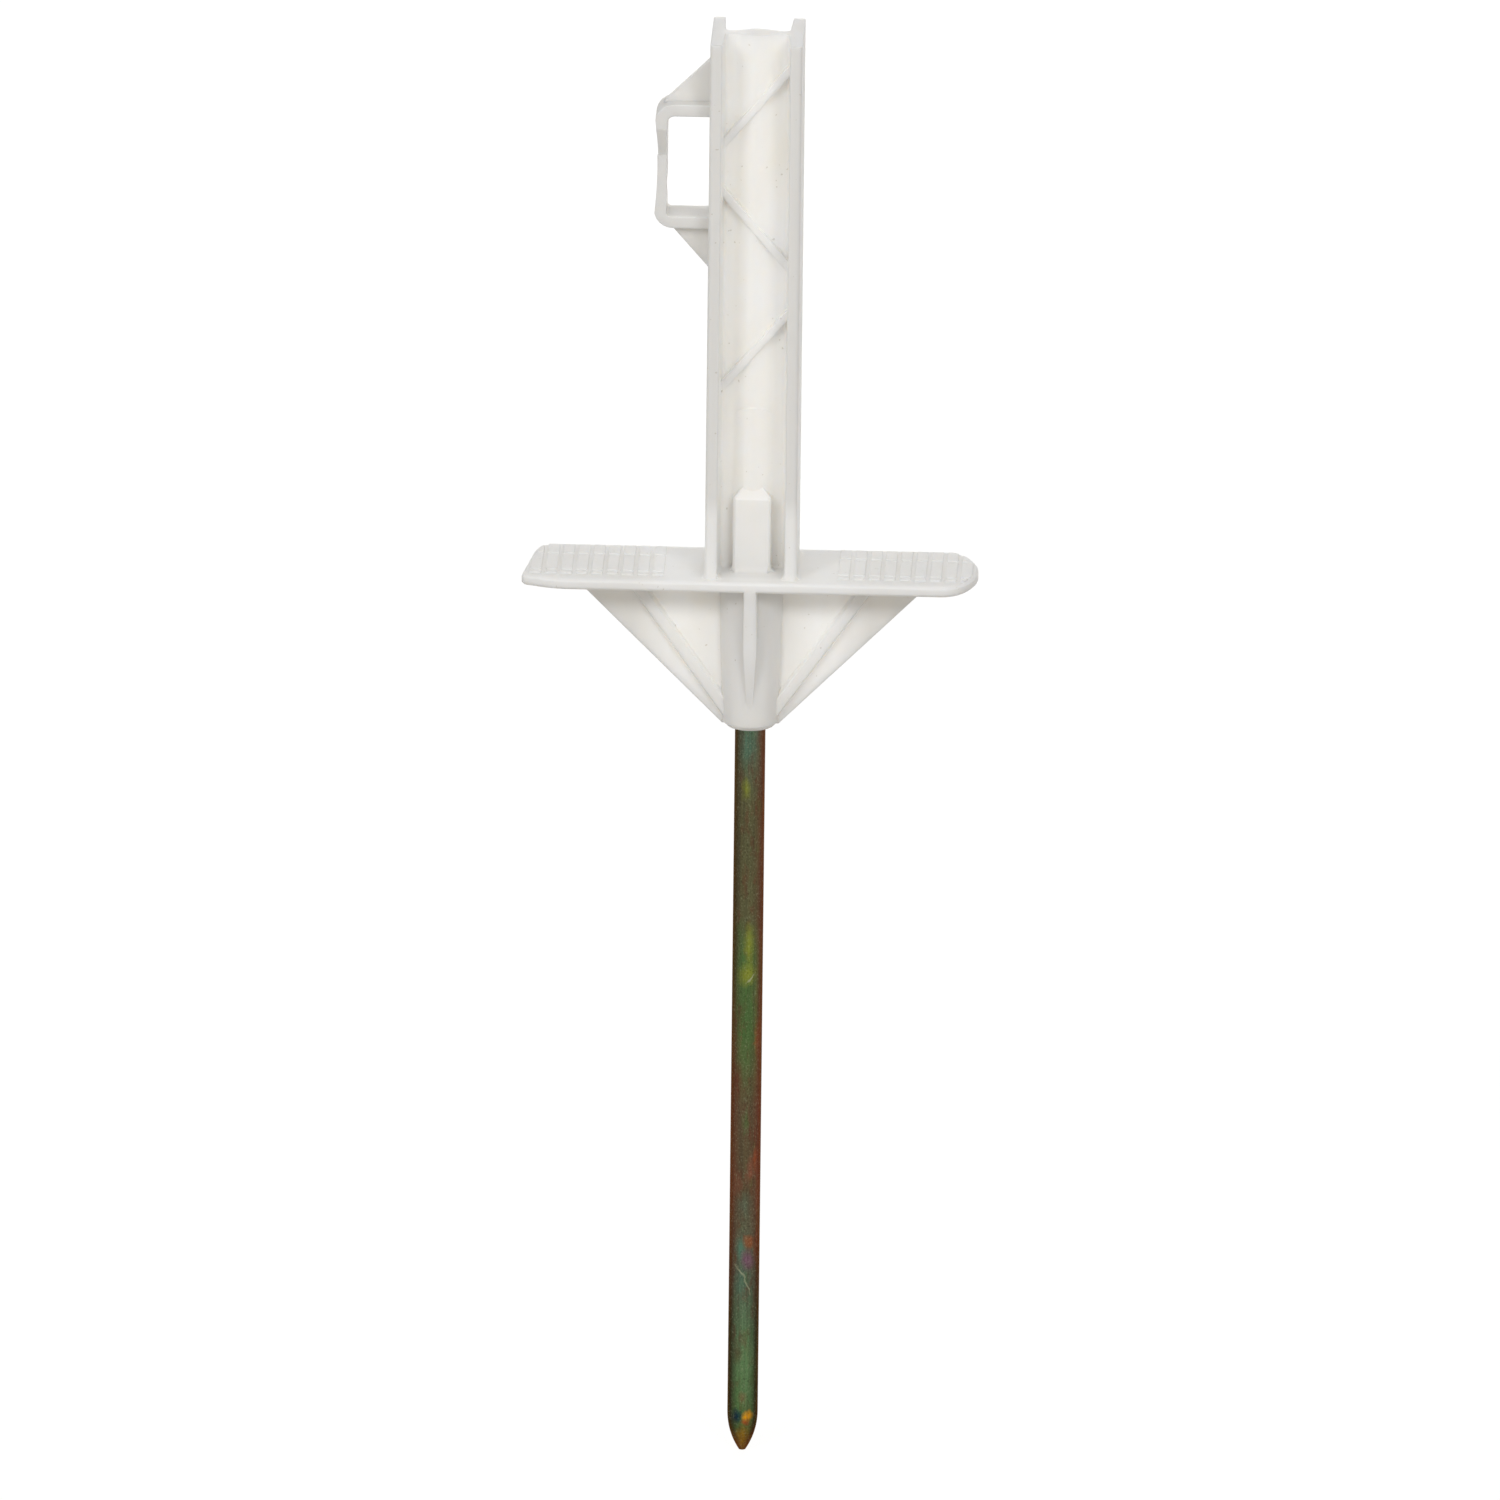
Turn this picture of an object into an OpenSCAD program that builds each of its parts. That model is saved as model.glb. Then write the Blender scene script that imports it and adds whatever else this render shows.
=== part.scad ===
// Step-in fence post: a moulded post with a treaded foot, driven in on a steel spike.
// The origin is on the spike's axis where it leaves the moulding. +Z is up, the post's
// front faces -Y and its wire eye stands out towards -X.

/* [Post] */
// Width of the post across its two flanges
post_w = 24; // [20:1:30]
// Depth of the post from front to back
post_d = 25; // [22:0.5:28]
// Height of the post's top above the spike's root
post_top = 190; // [180:5:400]
// Thickness of a flange at its edge
flange_t = 3.1; // [2.6:0.1:4]
// Thickness that a flange gains at its root
flange_draft = 0.5; // [0.1:0.1:1]
// Radius along the flange edges
edge_r = 1; // [0.4:0.1:1.2]
// Thickness of the web between the flanges
web_t = 3; // [2:0.2:5]
// Radius between the web and a flange
web_fillet = 1; // [0.4:0.1:2]

/* [Spine] */
// Width of the spine's smooth swell where it leaves the web
spine_w = 12; // [8:0.5:14]
// Height of the spine over the web's face
spine_h = 1.8; // [1:0.1:3]
// Extra height of the spine's thick lower stretch
stout_h = 0.3; // [0.2:0.1:1]
// Extra width of the thick stretch where it leaves the web
stout_more = 2; // [1.6:0.1:2.4]
// Height at which the thick stretch ends
stout_top = 88; // [75:1:110]

/* [Zigzag ribs] */
// Height of the first rib's low end
rib_first = 93; // [90:1:110]
// Rise of a rib across the channel
rib_rise = 21; // [14:1:28]
// Step from one rib to the next
rib_step = 33.5; // [30:0.5:50]
// Thickness of a rib
rib_t = 2; // [1.4:0.1:3]
// Height by which a rib stands over the spine
rib_over = 0.4; // [0.2:0.1:1]

/* [Wire eye] */
// Drop from the post's top to the eye's upper face
eye_drop = 18.9; // [16:0.1:60]
// Height of the eye's window
eye_window_h = 27.5; // [20:0.5:40]
// Clear width of the window beside the flange
eye_window_w = 11.3; // [8:0.1:16]
// Radius of the window's lower outer corner
window_low_r = 1; // [0.5:0.1:3]
// Radius of the window's upper outer corner
window_top_r = 2; // [0.5:0.1:4]
// Thickness of the eye's two arms
arm_t = 3.1; // [2.4:0.1:4]
// Thickness of the eye's outer bar
bar_t = 3.2; // [2.6:0.1:4]
// Depth of the eye from front to back
eye_d = 10; // [8:0.5:14]
// Radius of the eye's outer corners
eye_r = 5; // [3:0.5:6]
// Depth of the shallow waist in the bar's outer side
waist = 0.8; // [0.2:0.1:1.2]
// Width of the entry slit between the two tongues
slit_w = 1.2; // [0.8:0.1:2]
// Height of the front tongue's tip over the lower arm
tongue_h = 17; // [12:0.5:18]
// Drop of the front tongue's tip from its front edge to the slit
tongue_slope = 2.6; // [1:0.1:3.5]
// Height of the lead-in above the front tongue's tip
lead_in = 6.9; // [4:0.1:9]
// Overlap of the two tongues
tongue_lap = 8; // [5:0.5:10]
// Thickness of the gusset webs above and below the eye
gusset_t = 2.4; // [1.6:0.1:4]
// Distance of the upper gusset's toe from the bar's outer side
toe_up = 2; // [1:0.2:5]
// Reach of the upper gusset up the flange
gusset_up = 11.8; // [8:0.1:16]
// Distance of the lower gusset's toe from the bar's outer side
toe_down = 3.6; // [1:0.2:6]
// Reach of the lower gusset down the flange
gusset_down = 12; // [8:0.1:16]

/* [Foot] */
// Height of the foot plate's underside over the spike's root
foot_z = 40.7; // [34:0.5:50]
// Thickness of the foot plate
foot_t = 2.8; // [2.2:0.1:4]
// Depth of the foot plate and the fins from front to back
foot_d = 30; // [28:1:36]
// Reach of the foot to the left of the spike
foot_left = 60; // [52:1:70]
// Reach of the foot to the right of the spike
foot_right = 59.2; // [52:0.2:70]
// Length of the rounded right end
foot_nose = 9.4; // [6:0.2:14]
// Setback of the left end's rear corner
foot_skew = 3.6; // [0:0.2:8]
// Radius of the left end's rear corner
skew_r = 6; // [3:0.5:10]
// Setback of the left end's point from the front edge
point_back = 3.4; // [2:0.2:8]
// Radius of the left end's point
point_r = 1.8; // [1:0.1:4]
// Length of the slanting front edge behind the point
point_slant = 9; // [5:0.5:14]
// Radius where the slanting edge joins the front edge
slant_r = 20; // [8:1:30]
// Chamfer round the plate's rim
rim_c = 0.6; // [0.3:0.1:0.9]

/* [Tread] */
// Distance from the spike to the first tread block
tread_start = 22.8; // [18:0.2:30]
// Step from one tread block to the next
tread_step = 4; // [3:0.5:6]
// Gap between neighbouring tread blocks
tread_gap = 1.1; // [0.6:0.1:1.4]
// Height of the tread blocks
tread_h = 0.4; // [0.2:0.1:1]
// Width of the smooth rim in front of the tread
tread_rim = 4.2; // [2:0.2:5]
// Distance from the plate's rear and side edges to the tread
tread_inset = 1; // [0.9:0.1:2]
// Depth of the front row of blocks
row_front = 3.2; // [2.4:0.2:8]
// Depth of the middle row of blocks
row_middle = 13.6; // [8:0.2:15]

/* [Boss and sleeve] */
// Width of the boss at the foot of the channel
boss_w = 10; // [9.5:0.1:12]
// Depth of the boss from front to back
boss_d = 11; // [10.5:0.1:14]
// Height of the boss's front face over the foot plate
boss_h = 19.9; // [16:0.1:26]
// Chamfer on the boss's upright edges
boss_c = 0.7; // [0.3:0.1:2]
// Width that the cap loses on each side as it rises
cap_taper = 2.8; // [1:0.1:3.5]
// Radius of the fillets where the post stands on the foot
stand_r = 1.4; // [0.6:0.1:1.8]
// Height of the boss's sloping cap
boss_cap = 3.2; // [2:0.1:5]
// Radius of the sleeve under the foot
sleeve_top_r = 8.4; // [7.5:0.1:10]
// Radius of the sleeve at its lower end
sleeve_end_r = 7.4; // [6.5:0.1:8]
// Chamfer round the sleeve's lower end
sleeve_c = 1.2; // [0.5:0.1:2]

/* [Ground webs] */
// Half width of the ground webs under the plate
keel_reach = 48; // [40:1:54]
// Thickness of the ground webs
keel_t = 2.6; // [2:0.1:4]
// Distance from the spike's axis to the middle of a diagonal rib's top
strut_reach = 32; // [24:0.1:40]
// Height at which a diagonal rib's middle line would meet the spike
strut_low = 1.3; // [0.5:0.1:6]
// Level width of a diagonal rib on its face
strut_w = 3.2; // [1.6:0.1:3.6]
// Width that a diagonal rib gains on each side at its root
strut_draft = 0.9; // [0.2:0.1:1.5]
// Height of a diagonal rib over the ground web's face
strut_h = 1.8; // [1:0.1:3]
// Thickness of the front and rear fins at their edge
fin_t = 3.1; // [2.4:0.1:4]
// Thickness that a fin gains at its root
fin_draft = 1.6; // [0.2:0.1:3]
// Width of a fin's edge at its low end
fin_tip = 1.6; // [1:0.1:3]
// Height of a fin's low end
fin_low = 7; // [3:0.5:12]

/* [Spike] */
// Diameter of the spike
spike_dia = 8; // [6:0.5:9]
// Length of the spike below the moulding, with its point
spike_len = 200.6; // [150:1:300]
// Length of the point
point_len = 10.6; // [8:0.1:16]
// Radius of the blunt tip
tip_r = 0.9; // [0.4:0.1:1.5]
// Radius that the spike loses where it is moulded in
tang_less = 0.3; // [0.2:0.05:0.6]
// Length of spike held inside the moulding
tang_len = 61; // [50:1:62]

/* [Hidden] */
// The two pieces, and the one that is built

// Colours of the plastic and of the plating
white = [0.93, 0.92, 0.88];
steel = [0.45, 0.42, 0.27];

// Facets of small circles, of the turned pieces and of the shallow waist's wide circle
$fn = 64;
turned_fn = 96;
waist_fn = 180;
// Steps of a rounded corner, of the spine's swell and of the spike's point
arc_steps = 6;
swell_steps = 12;
point_steps = 12;
// Angle between the points of the foot's rounded end
nose_step = 7.5;

// Depth by which forms that fuse run into each other
lap = 0.5;
// Reach of a cutting or trimming form past what it cuts
past = 1;
// Depth of the thick spine's foot under the web's face
stout_sink = 0.3;
// Depth of the boss's cap under the spine's crest where they meet
cap_sink = 1;
// Least height of the bar between the lead-in and the upper arm
least_bar = 1;

// Half sizes of the post's section and of the foot
half_w = post_w / 2;
half_d = post_d / 2;
foot_half = foot_d / 2;
half_web = web_t / 2;
channel_half = half_w - flange_t;
root_half = channel_half - flange_draft;

// Rib height over the web's face, the thick spine's half width and the number of ribs
rib_h = spine_h + rib_over;
stout_half = spine_w / 2 + stout_more / 2;
rib_count = floor((post_top - rib_first - rib_rise) / rib_step) + 1;

// Heights of the foot plate's top and of the boss's front face
plate_top = foot_z + foot_t;
boss_top = plate_top + boss_h;

// Heights and distances of the wire eye's parts
eye_top = post_top - eye_drop;
window_top = eye_top - arm_t;
window_low = window_top - eye_window_h;
eye_low = window_low - arm_t;
bar_in = half_w + eye_window_w;
bar_out = bar_in + bar_t;
tongue_tip = window_low + tongue_h;
tongue_lip = tongue_tip - tongue_lap;
lead_top = min(tongue_tip + lead_in, window_top - least_bar);

// Radii of the spike's shank and of its moulded-in end
spike_r = spike_dia / 2;
tang_r = spike_r - tang_less;

// A point at distance r from c in the direction a
function polar(c, r, a) = c + r * [cos(a), sin(a)];

// The points of an arc round c from angle a0 to a1
function arc(c, r, a0, a1, n) = [for (i = [0:n]) polar(c, r, a0 + (a1 - a0) * i / n)];

// The same points on the other side of the Y axis and of the X axis
function flip_x(points) = [for (i = [len(points) - 1:-1:0]) [-points[i].x, points[i].y]];
function flip_y(points) = [for (i = [len(points) - 1:-1:0]) [points[i].x, -points[i].y]];

function unit(v) = v / norm(v);

// The corner b of an outline, between its neighbours a and c, rounded to radius r
function corner(a, b, c, r) =
    let (
        u = unit(a - b),
        v = unit(c - b),
        half = acos(u * v) / 2,
        m = b + unit(u + v) * r / sin(half),
        s = b + u * r / tan(half) - m,
        e = b + v * r / tan(half) - m,
        a0 = atan2(s.y, s.x),
        turn = atan2(e.y, e.x) - a0,
        sweep = turn > 180 ? turn - 360 : turn < -180 ? turn + 360 : turn
    )
    arc(m, r, a0, a0 + sweep, arc_steps);

// Radius of an arc with the given half width and height
function arc_r(half, h) = (half * half + h * h) / (2 * h);

// A spine of half width w that swells to height h over the web's face, from its centre line
// towards its foot, which lies the depth sink under that face
function swell(w, h, sink) =
    [for (i = [0:swell_steps - 1])
        [w * i / swell_steps, half_web - sink + (h + sink) * (1 + cos(180 * i / swell_steps)) / 2]];

// The front right quarter of the post's section, from the spine to the flange's side
quarter = concat(
    swell(spine_w / 2, spine_h, 0),
    [[spine_w / 2, half_web]],
    corner([0, half_web], [root_half, half_web], [channel_half, half_d], web_fillet),
    corner([root_half, half_web], [channel_half, half_d], [half_w, half_d], edge_r / 2),
    corner([channel_half, half_d], [half_w, half_d], [half_w, 0], edge_r)
);
rear_half = concat(flip_x(quarter), quarter);
section = concat(rear_half, flip_y(rear_half));

// The outline of the foot plate seen from above
foot_straight = foot_right - foot_nose;
rear_left = [-foot_left + foot_skew, foot_half];
far_left = [-foot_left, -foot_half + point_back];
front_left = [-foot_left + point_slant, -foot_half];
foot_outline = concat(
    [for (a = [-90:nose_step:90]) [foot_straight + foot_nose * cos(a), foot_half * sin(a)]],
    corner([0, foot_half], rear_left, far_left, skew_r),
    corner(rear_left, far_left, front_left, point_r),
    corner(far_left, front_left, [0, -foot_half], slant_r)
);

// The section of the post, extruded from inside the foot plate to the top
module profile() {
    translate([0, 0, foot_z + lap])
        linear_extrude(post_top - foot_z - lap)
            polygon(section);
}

// The thicker lower stretch of the spine, with its arched end
module stout_spine() {
    quarter_stout = concat(
        swell(stout_half, spine_h + stout_h, stout_sink),
        [[stout_half, half_web - stout_sink], [stout_half, 0]]
    );
    stout = concat(flip_x(quarter_stout), quarter_stout);
    intersection() {
        translate([0, 0, foot_z + lap])
            linear_extrude(stout_top - foot_z)
                polygon(concat(stout, flip_y(stout)));
        rotate([90, 0, 0])
            linear_extrude(post_d, center = true)
                union() {
                    translate([-stout_half, 0])
                        square([2 * stout_half, stout_top - stout_half]);
                    translate([0, stout_top - stout_half])
                        circle(stout_half);
                }
    }
}

// Ribs that cross the channel by turns up to the right and up to the left
module zigzag_ribs() {
    reach = half_w - flange_t / 2;
    for (i = [0:rib_count - 1]) {
        side = i % 2 == 0 ? 1 : -1;
        low = rib_first + i * rib_step;
        half_t = rib_t / 2 / cos(atan(rib_rise / (2 * channel_half)));
        over = rib_rise * (reach - channel_half) / (2 * channel_half);
        rotate([90, 0, 0])
            linear_extrude(web_t + 2 * rib_h, center = true)
                polygon([
                    [-side * reach, low - over - half_t],
                    [side * reach, low + rib_rise + over - half_t],
                    [side * reach, low + rib_rise + over + half_t],
                    [-side * reach, low - over + half_t]
                ]);
    }
}

// The boss round the spike's end, whose cap slopes in to the spine on all sides
module boss() {
    w = boss_w / 2;
    d = boss_d / 2;
    cap_y = half_web + spine_h - cap_sink;
    cap_top = boss_top + boss_cap;
    cap_low = boss_top - past * boss_cap / cap_taper;
    intersection() {
        translate([0, 0, foot_z + lap])
            linear_extrude(cap_top - foot_z)
                polygon([
                    [-w, -d + boss_c], [-w + boss_c, -d], [w - boss_c, -d], [w, -d + boss_c],
                    [w, d - boss_c], [w - boss_c, d], [-w + boss_c, d], [-w, d - boss_c]
                ]);
        rotate([90, 0, 90])
            linear_extrude(post_w, center = true)
                polygon([
                    [-d, foot_z], [d, foot_z], [d, boss_top],
                    [cap_y, cap_top], [-cap_y, cap_top], [-d, boss_top]
                ]);
        rotate([90, 0, 0])
            linear_extrude(post_d, center = true)
                polygon([
                    [-w - past, foot_z], [w + past, foot_z], [w + past, cap_low],
                    [w - cap_taper, cap_top], [cap_taper - w, cap_top], [-w - past, cap_low]
                ]);
    }
}

// A straight fillet of the given length in the corner of the YZ plane and the XY plane
module fillet_run(length) {
    rotate([90, 0, 0])
        linear_extrude(length, center = true)
            polygon(concat(
                [[-lap, -lap], [stand_r, -lap]],
                arc([stand_r, stand_r], stand_r, 270, 180, arc_steps),
                [[-lap, stand_r]]
            ));
}

// The fillets where the flanges, the web and the boss stand on the foot plate
module stand_fillets() {
    for (turn = [0, 180])
        rotate([0, 0, turn])
            translate([0, 0, plate_top]) {
                translate([half_w, 0, 0])
                    fillet_run(post_d - 2 * edge_r);
                translate([flange_draft / 2 - channel_half, 0, 0])
                    fillet_run(post_d - 2 * edge_r);
                translate([boss_w / 2, 0, 0])
                    fillet_run(boss_d - 2 * boss_c);
                rotate([0, 0, 90])
                    translate([half_web, 0, 0])
                        fillet_run(2 * root_half);
                rotate([0, 0, 90])
                    translate([boss_d / 2, 0, 0])
                        fillet_run(boss_w - 2 * boss_c);
            }
}

// The eye's outline from the front, with its window and the waist in the outer bar
module eye_outline() {
    waist_r = arc_r(eye_window_h / 2, waist);
    difference() {
        polygon(concat(
            [[-half_w + lap, eye_low]],
            corner([0, eye_low], [-bar_out, eye_low], [-bar_out, eye_top], eye_r),
            corner([-bar_out, eye_low], [-bar_out, eye_top], [0, eye_top], eye_r),
            [[-half_w + lap, eye_top]]
        ));
        polygon(concat(
            [[-half_w, window_low]],
            corner([0, window_low], [-bar_in, window_low], [-bar_in, window_top], window_low_r),
            corner([-bar_in, window_low], [-bar_in, window_top], [0, window_top], window_top_r),
            [[-half_w, window_top]]
        ));
        translate([-bar_out - waist_r + waist, (window_low + window_top) / 2])
            circle(waist_r, $fn = waist_fn);
    }
}

// The entry slit seen from the side: in under the lead-in, down behind the front tongue and
// out at the rear
module entry_slit() {
    front = -eye_d / 2;
    rear = eye_d / 2 + past;
    half_slit = slit_w / 2;
    tongue_back = tongue_tip - tongue_slope;
    rotate([90, 0, 90])
        translate([0, 0, -bar_out - past])
            linear_extrude(bar_t + 2 * past)
                polygon([
                    [front - past, tongue_tip], [front, tongue_tip],
                    [-half_slit, tongue_back], [-half_slit, tongue_lip - slit_w],
                    [rear, tongue_lip - slit_w - rear], [rear, tongue_lip],
                    [half_slit, tongue_lip], [half_slit, tongue_back + half_slit],
                    [front, lead_top], [front - past, lead_top]
                ]);
}

// The wire eye with its entry slit
module wire_eye() {
    difference() {
        rotate([90, 0, 0])
            linear_extrude(eye_d, center = true)
                eye_outline();
        entry_slit();
    }
}

// The thin webs that brace the eye's two arms against the flange
module eye_gussets() {
    inner = -half_w + lap;
    rotate([90, 0, 0])
        linear_extrude(gusset_t, center = true)
            union() {
                polygon([
                    [inner, eye_top - lap], [inner, eye_top + gusset_up],
                    [-half_w, eye_top + gusset_up], [-bar_out + toe_up, eye_top - lap]
                ]);
                polygon([
                    [inner, eye_low + lap], [inner, eye_low - gusset_down],
                    [-half_w, eye_low - gusset_down], [-bar_out + toe_down, eye_low + lap]
                ]);
            }
}

// The foot plate with a chamfered rim
module foot_plate() {
    hull() {
        translate([0, 0, foot_z])
            linear_extrude(foot_t)
                offset(delta = -rim_c)
                    polygon(foot_outline);
        translate([0, 0, foot_z + rim_c])
            linear_extrude(foot_t - 2 * rim_c)
                polygon(foot_outline);
    }
}

// The tread: three rows of low blocks on each side of the post
module tread() {
    row_y = [
        -foot_half + tread_rim,
        -foot_half + tread_rim + row_front,
        -foot_half + tread_rim + row_front + row_middle,
        foot_half - tread_inset
    ];
    block_w = tread_step - tread_gap;
    columns = floor((foot_left - tread_start) / tread_step) + 1;
    intersection() {
        translate([0, 0, plate_top - lap])
            linear_extrude(lap + tread_h)
                offset(delta = -tread_inset)
                    polygon(foot_outline);
        for (side = [-1, 1])
            for (i = [0:columns - 1])
                for (row = [0:2])
                    translate([
                        side * (tread_start + i * tread_step) - (side < 0 ? block_w : 0),
                        row_y[row] + tread_gap / 2,
                        plate_top - lap
                    ])
                        cube([block_w, row_y[row + 1] - row_y[row] - tread_gap, lap + tread_h]);
    }
}

// The tapered sleeve that the spike leaves through
module sleeve() {
    rotate_extrude($fn = turned_fn)
        polygon([
            [0, 0], [sleeve_end_r - sleeve_c, 0], [sleeve_end_r, sleeve_c],
            [sleeve_top_r, foot_z + lap], [0, foot_z + lap]
        ]);
}

// The thin upright webs under the plate that stop the post turning in the ground
module ground_webs() {
    rotate([90, 0, 0])
        linear_extrude(keel_t, center = true)
            polygon([
                [-keel_reach, foot_z + lap], [-sleeve_end_r, sleeve_c / 2],
                [sleeve_end_r, sleeve_c / 2], [keel_reach, foot_z + lap]
            ]);
}

// The front view of a diagonal rib on the given side, widened by more on both sides
module strut_face(side, more) {
    half = strut_w / 2 + more;
    polygon([
        [side * (spike_r - half), strut_low], [side * (strut_reach - half), foot_z + lap],
        [side * (strut_reach + half), foot_z + lap], [side * (spike_r + half), strut_low]
    ]);
}

// The diagonal ribs on both faces of the ground webs, wider at their roots
module struts() {
    for (side = [-1, 1])
        hull() {
            rotate([90, 0, 0])
                linear_extrude(keel_t / 2, center = true)
                    strut_face(side, strut_draft);
            rotate([90, 0, 0])
                linear_extrude(keel_t + 2 * strut_h, center = true)
                    strut_face(side, 0);
        }
}

// The front and rear fins, thinner towards their edges and their low ends
module fins() {
    edge = fin_t / 2;
    root = edge + fin_draft / 2;
    intersection() {
        linear_extrude(foot_z + lap)
            polygon([
                [-edge, -foot_half], [edge, -foot_half], [root, 0],
                [edge, foot_half], [-edge, foot_half], [-root, 0]
            ]);
        rotate([90, 0, 90])
            linear_extrude(post_w, center = true)
                polygon([
                    [-foot_half, foot_z + lap], [-foot_half, foot_z], [-sleeve_end_r, fin_low],
                    [sleeve_end_r, fin_low], [foot_half, foot_z], [foot_half, foot_z + lap]
                ]);
        rotate([90, 0, 0])
            linear_extrude(foot_d + 2 * past, center = true)
                polygon([
                    [-fin_tip / 2, fin_low - past], [fin_tip / 2, fin_low - past],
                    [root + lap, foot_z + lap + past], [-root - lap, foot_z + lap + past]
                ]);
    }
}

// The whole moulding, with the blind seat that the spike is moulded into
module moulded_post() {
    color(white)
        difference() {
            union() {
                profile();
                stout_spine();
                zigzag_ribs();
                boss();
                stand_fillets();
                wire_eye();
                eye_gussets();
                foot_plate();
                tread();
                sleeve();
                ground_webs();
                struts();
                fins();
            }
            translate([0, 0, -past])
                cylinder(h = tang_len + past, r = tang_r);
        }
}

// The steel spike: an ogive point, the exposed shank and the thinner moulded-in end
module ground_spike() {
    ogive_r = arc_r(point_len, spike_r - tip_r);
    sweep = asin(point_len / ogive_r);
    color(steel)
        rotate_extrude($fn = turned_fn)
            polygon(concat(
                [[0, -spike_len]],
                arc([spike_r - ogive_r, point_len - spike_len], ogive_r, -sweep, 0, point_steps),
                [[spike_r, 0], [tang_r, 0], [tang_r, tang_len], [0, tang_len]]
            ));
}

moulded_post();
ground_spike();
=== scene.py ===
"""Step-in fence post: the looks of the moulded post and its plated steel spike."""
import math

import bmesh
import bpy
from mathutils import Color, Matrix, Vector


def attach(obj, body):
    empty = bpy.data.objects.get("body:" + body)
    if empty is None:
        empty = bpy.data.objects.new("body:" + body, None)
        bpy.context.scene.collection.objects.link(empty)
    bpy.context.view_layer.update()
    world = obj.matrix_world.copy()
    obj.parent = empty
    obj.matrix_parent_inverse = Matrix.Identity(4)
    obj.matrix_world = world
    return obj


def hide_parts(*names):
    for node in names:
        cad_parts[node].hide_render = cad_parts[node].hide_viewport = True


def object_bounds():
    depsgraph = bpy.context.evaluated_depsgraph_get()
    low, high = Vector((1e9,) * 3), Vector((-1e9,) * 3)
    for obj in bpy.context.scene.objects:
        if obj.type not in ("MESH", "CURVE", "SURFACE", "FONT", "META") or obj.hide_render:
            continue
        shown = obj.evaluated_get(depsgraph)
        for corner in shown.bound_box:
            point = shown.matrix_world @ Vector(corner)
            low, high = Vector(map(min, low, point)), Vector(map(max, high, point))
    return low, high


bl_info = {
    "name": "Step-in fence post",
    "version": (1, 0, 0),
    "blender": (4, 5, 0),
    "location": "3D View > Sidebar > Fence post",
    "description": "Dresses a moulded step-in fence post and its plated spike, and sets the studio",
    "category": "Add Mesh",
}

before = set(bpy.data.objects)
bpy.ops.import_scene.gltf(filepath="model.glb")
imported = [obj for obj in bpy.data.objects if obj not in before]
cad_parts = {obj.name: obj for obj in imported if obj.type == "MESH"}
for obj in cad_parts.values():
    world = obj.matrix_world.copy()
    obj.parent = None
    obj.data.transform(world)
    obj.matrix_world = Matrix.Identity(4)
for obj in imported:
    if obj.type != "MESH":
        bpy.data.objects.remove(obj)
CAD_BOX = [[float(c) for c in corner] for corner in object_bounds()]

MM = 0.001
POST_NODE = "moulded_post"
SPIKE_NODE = "ground_spike"
BODY = "root"
SPIKE_TIP = CAD_BOX[0][2]

# The blind seat that the spike's end fills in the moulding, with a little to spare
SEAT_RADIUS = 3.75 * MM
SEAT_HEIGHT = 61.5 * MM
# Corners of the CAD triangles that lie closer than this are one corner
SAME_CORNER = 0.002 * MM
# How strongly large flat faces hold the shading at their edges, out of 100
FLAT_WEIGHT = 100

# How far red, green and blue light spread in the plastic, next to each other
PLASTIC_SPREAD = (1.0, 0.94, 0.86)
PLASTIC_SPECK = (0.42, 0.37, 0.28)
# Zones of painted shade on the plastic: on each axis the places in mm where the painted shade starts and
# where it is full, and the most of it. The distance to either side of the middle is called aside.
PAINTED_SHADE_ZONES = {
    "flange fronts": ({"Y": (-11.3, -11.8), "Z": (60, 66)}, 1.0),
    "wire eye": ({"X": (-11.8, -12.6), "Z": (100, 120)}, 1.0),
    "outer webs": ({"aside": (22, 31), "Z": (52, 30)}, 1.0),
    "middle of the foot": ({"aside": (17, 11), "Z": (56, 46), "Y": (-11.5, -9)}, 0.5),
}


def shown(red, green, blue):
    """The linear colour that a display shows as these tones, each from 0 to 255."""
    return tuple(Color((red / 255, green / 255, blue / 255)).from_srgb_to_scene_linear())


# Tones of the yellow passivated plating, also used for the painted shade and reflection at the spike's
# sides
OLIVE = shown(90, 88, 60)
GREEN = shown(76, 106, 58)
PALE_GREEN = shown(92, 122, 80)
GREY_GREEN = shown(84, 98, 80)
TEAL = shown(78, 116, 96)
DEEP_TEAL = shown(8, 48, 62)
YELLOW_GREEN = shown(130, 136, 48)
BROWN = shown(90, 78, 56)
DARK_BROWN = shown(62, 52, 36)
RED_BROWN = shown(94, 52, 38)
NEAR_BLACK = shown(34, 25, 22)
PINK = shown(132, 82, 62)
ORANGE = shown(156, 78, 36)
PURPLE = shown(118, 84, 102)
AMBER = shown(212, 146, 24)
GOLD = shown(150, 112, 20)
PALE = shown(168, 170, 138)
DRAWN_LINE = (0.04, 0.034, 0.022)
# Tint of the steel's mirror images seen at a flat angle
STEEL_TINT = (0.60, 0.46, 0.40)

# Tones of the spike's middle and of the painted shade and reflection along its sides, from its point (0) to
# the sleeve (1)
STEEL_ALONG = [
    (0.00, GOLD), (0.05, GREEN), (0.12, PALE_GREEN), (0.25, GREY_GREEN), (0.36, BROWN), (0.48, BROWN),
    (0.58, GREEN), (0.68, GREEN), (0.74, OLIVE), (0.90, OLIVE), (1.00, GREY_GREEN),
]
STEEL_SIDE_SHADING = [
    (0.00, RED_BROWN), (0.04, NEAR_BLACK), (0.17, NEAR_BLACK), (0.34, RED_BROWN), (0.50, RED_BROWN),
    (0.66, DARK_BROWN), (1.00, DARK_BROWN),
]
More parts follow.
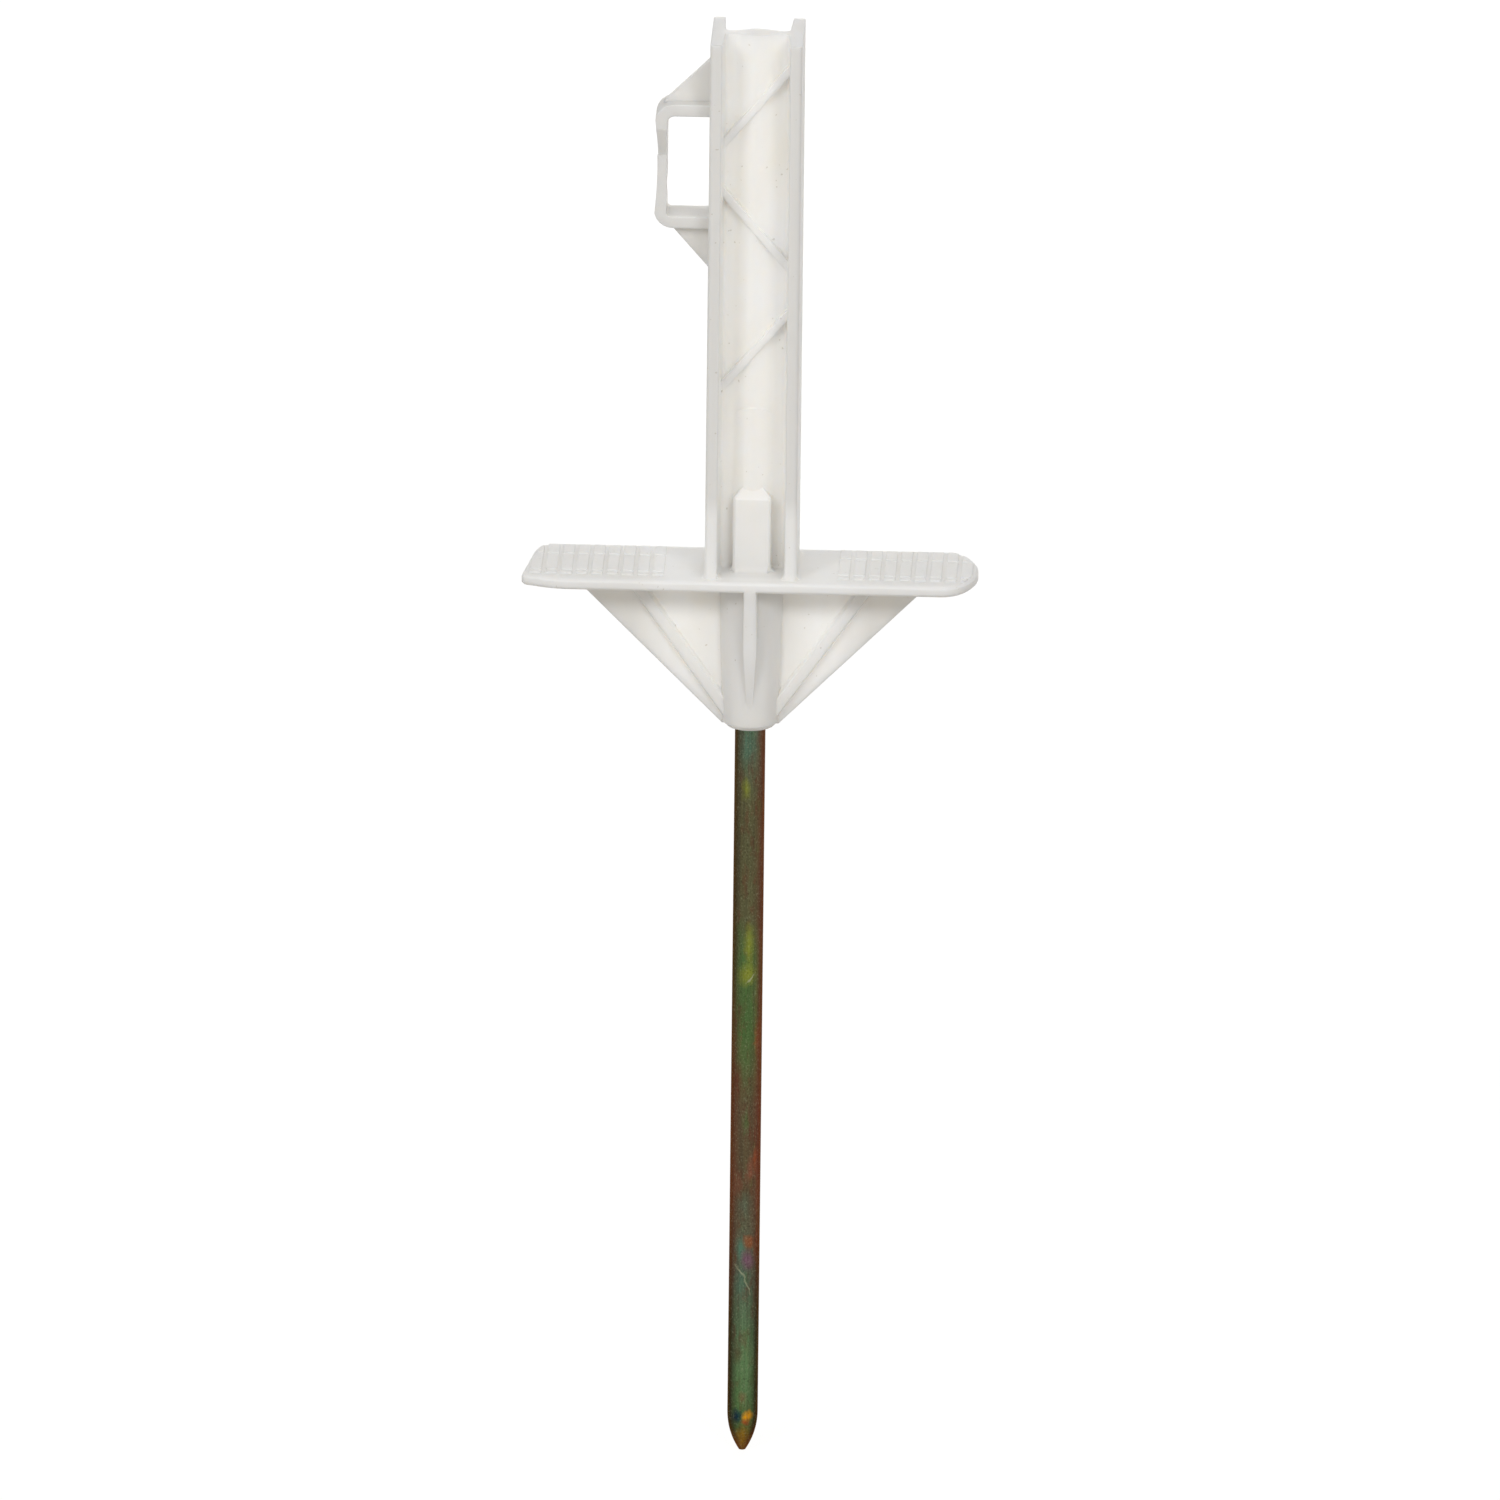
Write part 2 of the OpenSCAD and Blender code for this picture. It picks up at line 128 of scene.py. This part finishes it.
# Patches and scratches on the spike's front: how far right of the axis and below the sleeve, half size
# across and along in mm, lean in degrees, tone and strength
STEEL_PATCHES = [
    ((-0.5, 5), (2, 5), 0, TEAL, 0.6),
    ((-1, 17), (1, 2.5), 0, YELLOW_GREEN, 0.7),
    ((-2.5, 21), (1, 4), 0, OLIVE, 0.7),
    ((0.5, 60), (1.2, 5), 0, YELLOW_GREEN, 0.8),
    ((-1.5, 65), (1.5, 2.5), 0, GREEN, 0.7),
    ((0, 68), (2, 3), 20, YELLOW_GREEN, 0.9),
    ((1, 76), (1, 3.5), 0, GREEN, 0.7),
    ((3, 86), (0.7, 4.5), 0, ORANGE, 0.7),
    ((-2.5, 97), (1.2, 4), 0, RED_BROWN, 0.7),
    ((1.5, 122), (1, 3.5), 10, PINK, 0.8),
    ((3, 119), (0.7, 3), 0, ORANGE, 0.8),
    ((-2, 126), (1.2, 3), 0, PINK, 0.5),
    ((0, 132), (2, 3), 0, GREY_GREEN, 0.6),
    ((-1, 144), (1, 2.5), 0, TEAL, 0.9),
    ((1, 147), (1.5, 2.5), 0, PURPLE, 0.9),
    ((1.5, 142), (1.5, 1.5), 0, ORANGE, 0.6),
    ((3.5, 144), (0.7, 4.5), 0, ORANGE, 0.8),
    ((-1, 154), (1.5, 3.5), 0, TEAL, 0.5),
    ((-1.5, 173), (1.2, 2.5), 0, BROWN, 0.7),
    ((1, 178), (1.2, 9), 0, PALE_GREEN, 0.8),
    ((0, 185), (1, 1.3), 0, PINK, 0.4),
    ((-1.5, 193.5), (1.5, 2.5), 0, GREEN, 0.8),
    ((0, 197.5), (2.5, 3), 0, GOLD, 1.0),
    ((-1.5, 190.5), (1.5, 1.7), 0, DEEP_TEAL, 1.0),
    ((1.5, 190.5), (1.2, 1.3), 0, AMBER, 1.0),
    ((1, 192), (1, 0.7), 0, ORANGE, 0.9),
    ((1, 69), (0.2, 1.5), 35, PALE, 0.8),
    ((-1, 150), (0.2, 2.5), -35, PALE, 0.7),
    ((1, 154), (0.2, 2), -20, PALE, 0.7),
]
# A patch lies round the spike's front face, reaches this far in depth and fades out between these
# multiples of its half size
SPIKE_FRONT = -4 * MM
PATCH_REACH = 6 * MM
PATCH_END = 1.5
PATCH_CORE = 0.3

# Where the camera and the lamps aim
AIM = Vector((0, 0, -7.3 * MM))
SENSOR_WIDTH_MM = 36
CAMERA_REACH = 100
FLOOR_HALF = 30.0
FLOOR_TONES = ((0.62, 0.60, 0.57), (0.60, 0.58, 0.55))
FLOOR_GLOW = 1.16
FLOOR_WHITE_SHARE = 0.8
WHITE = (1.0, 1.0, 1.0)
BACKGROUND_STRENGTH = 1.04
SOFT_LIGHT_COLOUR = (1.0, 0.985, 0.96)
SOFT_LIGHT_STRENGTH = 0.42
LAMP_DISTANCE = 2.0
# Softboxes: azimuth from the post's front, positive to its right, and elevation in degrees, side in
# metres, power in watts, and whether the camera and mirror images show the lamp
SOFTBOXES = {
    "left_softbox": (-30, 33, 0.45, 9.8, True),
    "right_softbox": (24, 33, 0.45, 9.8, True),
    "back_softbox": (178, 4, 1.0, 26.0, False),
}


class FencePostSizes(bpy.types.PropertyGroup):
    """Sizes and colours that a user would change"""
    edge_radius: bpy.props.FloatProperty(
        name="Edge radius", description="Radius moulded along the post's edges",
        default=0.35 * MM, min=0.05 * MM, max=0.8 * MM, subtype="DISTANCE", unit="LENGTH")
    sharp_angle: bpy.props.FloatProperty(
        name="Sharp angle", description="Faces that meet more sharply than this keep a sharp edge",
        default=math.radians(28), min=0.1, max=1.5, subtype="ANGLE", unit="ROTATION")
    plastic_colour: bpy.props.FloatVectorProperty(
        name="Plastic colour", description="Main colour of the white moulding",
        default=(0.93, 0.926, 0.918), min=0, max=1, subtype="COLOR")
    plastic_shade: bpy.props.FloatVectorProperty(
        name="Plastic shade", description="Slightly duller colour of the moulding's cloudy patches",
        default=(0.90, 0.89, 0.86), min=0, max=1, subtype="COLOR")
    # Painted shade: the darker colour laid on the flange fronts, wire eye, outer webs and middle of the
    # foot
    plastic_painted_shade: bpy.props.FloatVectorProperty(
        name="Painted shade colour", description="Colour of the worn flange fronts, wire eye, outer webs and foot",
        default=(0.77, 0.765, 0.75), min=0, max=1, subtype="COLOR")
    plastic_depth: bpy.props.FloatProperty(
        name="Plastic depth", description="Distance that light spreads inside the milky plastic",
        default=4.0 * MM, min=0.1 * MM, max=20 * MM, subtype="DISTANCE", unit="LENGTH")
    # Painted reflection: red tint of the painted shade along the spike's right side
    steel_side_shading_tint: bpy.props.FloatVectorProperty(
        name="Steel painted edge tint", description="Tint of the plating along the spike's right side",
        default=(0.150, 0.042, 0.028), min=0, max=1, subtype="COLOR")
    patch_wander: bpy.props.FloatProperty(
        name="Patch wander", description="How far the outlines of the plating's patches stray",
        default=1.6 * MM, min=0, max=5 * MM, subtype="DISTANCE", unit="LENGTH")
    camera_distance: bpy.props.FloatProperty(
        name="Camera distance", description="Distance from the camera to the post",
        default=18.0, min=1.0, max=18.0, subtype="DISTANCE", unit="LENGTH")
    camera_elevation: bpy.props.FloatProperty(
        name="Camera elevation", description="Angle by which the camera looks down",
        default=math.radians(18.5), min=0, max=1.5, subtype="ANGLE", unit="ROTATION")
    camera_azimuth: bpy.props.FloatProperty(
        name="Camera azimuth", description="Angle by which the camera stands right of the post's front",
        default=math.radians(2.0), min=-3.2, max=3.2, subtype="ANGLE", unit="ROTATION")
    camera_roll: bpy.props.FloatProperty(
        name="Camera roll", description="Lean of the post to the right in the picture",
        default=math.radians(0.65), min=-0.5, max=0.5, subtype="ANGLE", unit="ROTATION")
    picture_width: bpy.props.FloatProperty(
        name="Picture width", description="Width that the picture covers at the post",
        default=0.3923, min=0.1, max=2.0, subtype="DISTANCE", unit="LENGTH")


def sizes():
    return bpy.context.scene.fence_post


class Nodes:
    """A short way to add and join shader nodes in one material or world."""

    def __init__(self, tree):
        self.tree = tree
        tree.nodes.clear()

    def fill(self, socket, value):
        """Joins another node's output to a socket, or gives the socket a number, vector or colour."""
        if isinstance(value, bpy.types.NodeSocket):
            self.tree.links.new(value, socket)
        elif socket.type == "RGBA":
            socket.default_value = (*value, 1.0)
        else:
            socket.default_value = value

    def add(self, kind, inputs=None, **settings):
        """Adds a node with these settings and fills its inputs, which go by name or by number."""
        node = self.tree.nodes.new(kind)
        for name, value in settings.items():
            setattr(node, name, value)
        for name, value in (inputs or {}).items():
            self.fill(node.inputs[name], value)
        return node

    def math(self, operation, a, b=0.0):
        return self.add("ShaderNodeMath", {0: a, 1: b}, operation=operation).outputs[0]

    def spread(self, value, low, high, to_low=0.0, to_high=1.0):
        """Maps a value from one range to another and holds it there."""
        ranges = {"From Min": low, "From Max": high, "To Min": to_low, "To Max": to_high}
        return self.add("ShaderNodeMapRange", {"Value": value, **ranges}).outputs["Result"]

    def blend(self, share, under, over):
        """Covers one colour with another by a share. The Mix node's colours are its inputs 6 and 7."""
        return self.add("ShaderNodeMix", {0: share, 6: under, 7: over}, data_type="RGBA").outputs[2]

    def noise(self, place, scale, detail=3.0, roughness=0.5, stretch=(1, 1, 1), shift=(0, 0, 0)):
        """Noise at a scale in cells per metre, stretched along the object's axes."""
        moved = self.add("ShaderNodeMapping", {"Vector": place, "Scale": stretch, "Location": shift})
        look = {"Vector": moved.outputs[0], "Scale": scale, "Detail": detail, "Roughness": roughness}
        return self.add("ShaderNodeTexNoise", look).outputs["Fac"]

    def mottle(self, colour, noise, over, low, high, most=1.0):
        """Lays another colour over one where a noise rises between two values."""
        return self.blend(self.spread(noise, low, high, 0.0, most), colour, over)

    def bump(self, height, depth, strength, under=None):
        """Shades a noise as relief of this depth, over relief or edges that are there before."""
        relief = {"Height": height, "Distance": depth, "Strength": strength}
        if under is not None:
            relief["Normal"] = under
        return self.add("ShaderNodeBump", relief).outputs["Normal"]

    def ramp(self, factor, stops):
        """A row of colours that run into each other along a factor from 0 to 1."""
        node = self.add("ShaderNodeValToRGB", {0: factor})
        elements = node.color_ramp.elements
        while len(elements) < len(stops):
            elements.new(0.5)
        for element, (place, colour) in zip(elements, stops):
            element.position = place
            element.color = (*colour, 1.0)
        return node.outputs["Color"]


def new_material(name):
    material = bpy.data.materials.new(name)
    material.use_nodes = True
    return material, Nodes(material.node_tree)


def painted_shade_mask(nodes, place):
    """A mask of the painted shade, where the plastic's colour is made darker."""
    axes = nodes.add("ShaderNodeSeparateXYZ", {0: place})
    places = {name: axes.outputs[name] for name in "XYZ"}
    places["aside"] = nodes.math("ABSOLUTE", places["X"])
    shaded = 0.0
    for limits, most in PAINTED_SHADE_ZONES.values():
        zone = most
        for axis, (start, full) in limits.items():
            zone = nodes.math("MULTIPLY", zone, nodes.spread(places[axis], start * MM, full * MM))
        shaded = nodes.math("MAXIMUM", shaded, zone)
    return shaded


def moulded_plastic():
    """Off-white moulded plastic: cloudy colour, flow streaks along the post, mould grain and specks, with
    painted shade on the flange fronts, wire eye, outer webs and middle of the foot.
    """
    chosen = sizes()
    material, nodes = new_material("white_moulded_plastic")
    place = nodes.add("ShaderNodeTexCoord").outputs["Object"]
    clouds = nodes.noise(place, scale=55, detail=4.0, roughness=0.55)
    colour = nodes.mottle(chosen.plastic_colour, clouds, chosen.plastic_shade, low=0.35, high=0.7)
    streaks = nodes.noise(place, scale=420, roughness=0.6, stretch=(1, 1, 0.06))
    colour = nodes.mottle(colour, streaks, chosen.plastic_shade, low=0.45, high=0.75, most=0.25)
    # Painted shade on the flange fronts, wire eye, outer webs and middle of the foot
    colour = nodes.blend(painted_shade_mask(nodes, place), colour, chosen.plastic_painted_shade)
    specks = nodes.noise(place, scale=900, detail=1.0, roughness=0.3, shift=(0.31, 0.17, 0.05))
    colour = nodes.mottle(colour, specks, PLASTIC_SPECK, low=0.765, high=0.80, most=0.35)
    satin = nodes.noise(place, scale=260, detail=4.0)
    edges = nodes.add("ShaderNodeBevel", {"Radius": chosen.edge_radius}, samples=8)
    ripple = nodes.noise(place, scale=160, detail=2.0, roughness=0.4, stretch=(1, 1, 0.35))
    ripple = nodes.bump(ripple, depth=0.12 * MM, strength=0.35, under=edges.outputs[0])
    grain = nodes.noise(place, scale=2600, roughness=0.6)
    shader = nodes.add("ShaderNodeBsdfPrincipled", {
        "Base Color": colour,
        "Roughness": nodes.spread(satin, 0.3, 0.7, to_low=0.36, to_high=0.52),
        "Subsurface Weight": 1.0,
        "Subsurface Radius": PLASTIC_SPREAD,
        "Subsurface Scale": chosen.plastic_depth,
        "Normal": nodes.bump(grain, depth=0.02 * MM, strength=0.5, under=ripple),
    })
    nodes.add("ShaderNodeOutputMaterial", {"Surface": shader.outputs[0]})
    return material


def strayed_place(nodes, place, distance):
    """The place on the spike, moved by a noise so that the outlines of patches come out uneven."""
    noise = nodes.add("ShaderNodeTexNoise", {"Vector": place, "Scale": 420, "Detail": 3.0})
    most = Vector((distance, 0, 2 * distance))
    shift = nodes.add("ShaderNodeVectorMath", {0: noise.outputs["Color"], 1: most, 2: -most / 2},
                      operation="MULTIPLY_ADD")
    return nodes.add("ShaderNodeVectorMath", {0: place, 1: shift.outputs[0]}, operation="ADD").outputs[0]


def steel_patch(nodes, place, colour, patch):
    """Lays one soft uneven patch of another tone on the front of the spike."""
    middle, half, lean, tone, strength = patch
    local = nodes.add("ShaderNodeMapping", {
        "Vector": place,
        "Location": (middle[0] * MM, SPIKE_FRONT, -middle[1] * MM),
        "Rotation": (0, math.radians(lean), 0),
        "Scale": (half[0] * MM, PATCH_REACH, half[1] * MM),
    }, vector_type="TEXTURE")
    away = nodes.add("ShaderNodeVectorMath", {0: local.outputs[0]}, operation="LENGTH")
    return nodes.mottle(colour, away.outputs["Value"], tone, PATCH_END, PATCH_CORE, strength)


def paint_side_shading(nodes, place, height, small):
    """Painted shade and reflection at the spike's sides, set by how far the surface faces away from the
    camera: their mask and their colour, red at the right of the middle part.
    """
    facing = nodes.add("ShaderNodeLayerWeight").outputs["Facing"]
    uneven = nodes.spread(small, 0.25, 0.6, to_low=1.0, to_high=0.8)
    side_shading_mask = nodes.math("MULTIPLY", nodes.spread(facing, 0.05, 0.42), uneven)
    across = nodes.add("ShaderNodeSeparateXYZ", {0: place}).outputs["X"]
    right = nodes.spread(across, -1 * MM, 3 * MM)
    warm = nodes.math("MULTIPLY", right, nodes.spread(height, 0.26, 0.34))
    warm = nodes.math("MULTIPLY", warm, 0.75)
    return side_shading_mask, nodes.blend(warm, nodes.ramp(height, STEEL_SIDE_SHADING), sizes().steel_side_shading_tint)


def plated_steel():
    """Yellow passivated zinc on a drawn rod: tones of a thin film in patches, with painted shade and
    reflection, dark and red, at the sides.
    """
    material, nodes = new_material("yellow_plated_steel")
    place = nodes.add("ShaderNodeTexCoord").outputs["Object"]
    strayed = strayed_place(nodes, place, sizes().patch_wander)
    along = nodes.add("ShaderNodeSeparateXYZ", {0: strayed}).outputs["Z"]
    height = nodes.spread(along, SPIKE_TIP, 0.0)
    colour = nodes.ramp(height, STEEL_ALONG)
    small = nodes.noise(strayed, scale=520, roughness=0.6, stretch=(1, 1, 0.3), shift=(0.2, 0.4, 0.1))
    colour = nodes.mottle(colour, small, RED_BROWN, low=0.5, high=0.72, most=0.7)
    green = nodes.noise(strayed, scale=380, detail=2.0, stretch=(1, 1, 0.3), shift=(0.6, 0.1, 0.7))
    colour = nodes.mottle(colour, green, GREEN, low=0.55, high=0.75, most=0.7)
    for patch in STEEL_PATCHES:
        colour = steel_patch(nodes, strayed, colour, patch)
    # Painted shade and reflection darken and redden the spike's sides
    side_shading_mask, side_shading_colour = paint_side_shading(nodes, strayed, height, small)
    colour = nodes.blend(side_shading_mask, colour, side_shading_colour)
    drawn = nodes.noise(place, scale=1500, detail=2.0, stretch=(1, 1, 0.03))
    colour = nodes.mottle(colour, drawn, DRAWN_LINE, low=0.4, high=0.7, most=0.35)
    specks = nodes.noise(place, 2600, 2.0, roughness=0.6, stretch=(1, 1, 0.7), shift=(0.7, 0.1, 0.3))
    colour = nodes.mottle(colour, specks, PALE, low=0.56, high=0.72, most=0.2)
    colour = nodes.mottle(colour, specks, NEAR_BLACK, low=0.42, high=0.28, most=0.5)
    pits = nodes.bump(nodes.noise(place, scale=900, roughness=0.6), depth=0.03 * MM, strength=0.5)
    shader = nodes.add("ShaderNodeBsdfPrincipled", {
        "Base Color": colour,
        "Metallic": 1.0,
        "Specular Tint": STEEL_TINT,
        "Roughness": nodes.spread(nodes.noise(place, scale=500), 0.3, 0.7, to_low=0.3, to_high=0.46),
        "Normal": nodes.bump(drawn, depth=0.015 * MM, strength=0.5, under=pits),
    })
    nodes.add("ShaderNodeOutputMaterial", {"Surface": shader.outputs[0]})
    return material


def white_seen(nodes, lit, white, share):
    """Mixes plain white into a lit shader for the rays that show the background."""
    rays = nodes.add("ShaderNodeLightPath").outputs
    seen = nodes.math("MAXIMUM", rays["Is Camera Ray"], rays["Is Glossy Ray"])
    seen = nodes.math("MAXIMUM", seen, rays["Is Transmission Ray"])
    part = nodes.math("MULTIPLY", seen, share)
    return nodes.add("ShaderNodeMixShader", {0: part, 1: lit.outputs[0], 2: white.outputs[0]}).outputs[0]


def floor_material():
    """Pale floor that reads as white and keeps a soft shadow."""
    material, nodes = new_material("studio_floor")
    place = nodes.add("ShaderNodeTexCoord").outputs["Object"]
    tone = nodes.mottle(FLOOR_TONES[0], nodes.noise(place, scale=3), FLOOR_TONES[1], low=0.3, high=0.7)
    matt = nodes.add("ShaderNodeBsdfDiffuse", {"Color": tone})
    glow = nodes.add("ShaderNodeEmission", {"Strength": FLOOR_GLOW})
    seen = white_seen(nodes, matt, glow, FLOOR_WHITE_SHARE)
    nodes.add("ShaderNodeOutputMaterial", {"Surface": seen})
    return material


def merged_copy(node, name, seat_radius, seat_height):
    """A copy of a CAD node's mesh with its loose triangles joined.

    The blind seat round the Z axis, which the spike fills, is closed, so that the light that
    spreads inside the plastic doesn't leak into it.
    """
    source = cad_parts[node]
    mesh = bpy.data.meshes.new(name)
    bm = bmesh.new()
    bm.from_mesh(source.data)
    bmesh.ops.remove_doubles(bm, verts=bm.verts, dist=SAME_CORNER)
    seat = [face for face in bm.faces
            if all(vert.co.xy.length < seat_radius and vert.co.z < seat_height for vert in face.verts)]
    bmesh.ops.delete(bm, geom=seat, context="FACES")
    bmesh.ops.holes_fill(bm, edges=[edge for edge in bm.edges if edge.is_boundary], sides=0)
    bm.to_mesh(mesh)
    bm.free()
    mesh.materials.clear()
    piece = bpy.data.objects.new(name, mesh)
    bpy.context.collection.objects.link(piece)
    return piece


def smooth_faces(piece, sharp_angle):
    """Smooths the facets of round forms into each other and keeps flat faces flat and sharp edges sharp."""
    bm = bmesh.new()
    bm.from_mesh(piece.data)
    for face in bm.faces:
        face.smooth = True
    for edge in bm.edges:
        edge.smooth = len(edge.link_faces) == 2 and edge.calc_face_angle(0.0) < sharp_angle
    bm.to_mesh(piece.data)
    bm.free()
    flat = piece.modifiers.new("flat_faces", "WEIGHTED_NORMAL")
    flat.weight = FLAT_WEIGHT
    flat.keep_sharp = True


class FENCEPOST_OT_moulding(bpy.types.Operator):
    """Round the moulded post's edges and give it its plastic"""
    bl_idname = "fencepost.moulding"
    bl_label = "Moulded post"

    def execute(self, context):
        piece = merged_copy(POST_NODE, "post_moulding", SEAT_RADIUS, SEAT_HEIGHT)
        smooth_faces(piece, sizes().sharp_angle)
        piece.data.materials.append(moulded_plastic())
        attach(piece, BODY)
        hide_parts(POST_NODE)
        return {"FINISHED"}


class FENCEPOST_OT_spike(bpy.types.Operator):
    """Give the steel spike its yellow passivated plating"""
    bl_idname = "fencepost.spike"
    bl_label = "Ground spike"

    def execute(self, context):
        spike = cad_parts[SPIKE_NODE]
        steel = plated_steel()
        for slot in spike.material_slots:
            slot.material = steel
        return {"FINISHED"}


def direction(azimuth, elevation):
    """From the aim outwards. Azimuth 0 is in front of the post, positive to its right."""
    level = math.cos(elevation)
    return Vector((math.sin(azimuth) * level, -math.cos(azimuth) * level, math.sin(elevation)))


def softbox(name, azimuth, elevation, size, watts, seen):
    """A square lamp that faces the aim."""
    lamp = bpy.data.lights.new(name, "AREA")
    lamp.shape = "SQUARE"
    lamp.size = size
    lamp.energy = watts
    away = direction(math.radians(azimuth), math.radians(elevation))
    turn = away.to_track_quat("Z", "Y").to_matrix().to_4x4()
    obj = bpy.data.objects.new(name, lamp)
    obj.matrix_world = Matrix.Translation(AIM + away * LAMP_DISTANCE) @ turn
    obj.visible_camera = seen
    obj.visible_glossy = seen
    bpy.context.collection.objects.link(obj)


def studio_floor():
    """A wide floor at the height of the spike's tip."""
    corners = [(x * FLOOR_HALF, y * FLOOR_HALF, SPIKE_TIP) for x, y in ((-1, -1), (1, -1), (1, 1), (-1, 1))]
    mesh = bpy.data.meshes.new("studio_floor")
    mesh.from_pydata(corners, [], [(0, 1, 2, 3)])
    mesh.materials.append(floor_material())
    floor = bpy.data.objects.new("studio_floor", mesh)
    bpy.context.collection.objects.link(floor)


def studio_camera():
    """A long lens at the photograph's angle, leaning so that the post stands as it does there."""
    chosen = sizes()
    azimuth = chosen.camera_azimuth
    roll = chosen.camera_roll
    away = direction(azimuth, chosen.camera_elevation)
    right = Vector((math.cos(azimuth), math.sin(azimuth), 0))
    up = away.cross(right)
    leaned_right = right * math.cos(roll) + up * math.sin(roll)
    leaned_up = up * math.cos(roll) - right * math.sin(roll)
    camera = bpy.data.cameras.new("studio_camera")
    camera.sensor_width = SENSOR_WIDTH_MM
    camera.lens = SENSOR_WIDTH_MM * chosen.camera_distance / chosen.picture_width
    camera.clip_end = CAMERA_REACH
    obj = bpy.data.objects.new("studio_camera", camera)
    turn = Matrix((leaned_right, leaned_up, away)).transposed().to_4x4()
    obj.matrix_world = Matrix.Translation(AIM + away * chosen.camera_distance) @ turn
    bpy.context.collection.objects.link(obj)
    bpy.context.scene.camera = obj


def studio_world():
    """Soft even light from all round, which rays that show the background see as white."""
    world = bpy.data.worlds.new("studio_world")
    world.use_nodes = True
    bpy.context.scene.world = world
    nodes = Nodes(world.node_tree)
    soft_light = {"Color": SOFT_LIGHT_COLOUR, "Strength": SOFT_LIGHT_STRENGTH}
    soft = nodes.add("ShaderNodeBackground", soft_light)
    white = nodes.add("ShaderNodeBackground", {"Color": WHITE, "Strength": BACKGROUND_STRENGTH})
    nodes.add("ShaderNodeOutputWorld", {"Surface": white_seen(nodes, soft, white, 1.0)})


class FENCEPOST_OT_studio(bpy.types.Operator):
    """Set the floor, the soft lamps, the world and the camera"""
    bl_idname = "fencepost.studio"
    bl_label = "Studio"

    def execute(self, context):
        studio_floor()
        for name, values in SOFTBOXES.items():
            softbox(name, *values)
        studio_world()
        studio_camera()
        return {"FINISHED"}


class FENCEPOST_PT_panel(bpy.types.Panel):
    """The fence post's pieces and sizes"""
    bl_idname = "FENCEPOST_PT_panel"
    bl_label = "Fence post"
    bl_space_type = "VIEW_3D"
    bl_region_type = "UI"
    bl_category = "Fence post"

    def draw(self, context):
        for operator in OPERATORS:
            self.layout.operator(operator.bl_idname)
        for name in FencePostSizes.__annotations__:
            self.layout.prop(context.scene.fence_post, name)


OPERATORS = (FENCEPOST_OT_studio, FENCEPOST_OT_moulding, FENCEPOST_OT_spike)
CLASSES = (FencePostSizes, *OPERATORS, FENCEPOST_PT_panel)


def register():
    for cls in CLASSES:
        bpy.utils.register_class(cls)
    bpy.types.Scene.fence_post = bpy.props.PointerProperty(type=FencePostSizes)


def unregister():
    del bpy.types.Scene.fence_post
    for cls in reversed(CLASSES):
        bpy.utils.unregister_class(cls)


def main():
    register()
    bpy.context.scene.view_settings.view_transform = "Standard"
    bpy.ops.fencepost.studio()
    bpy.ops.fencepost.moulding()
    bpy.ops.fencepost.spike()


if __name__ == "__main__":
    main()
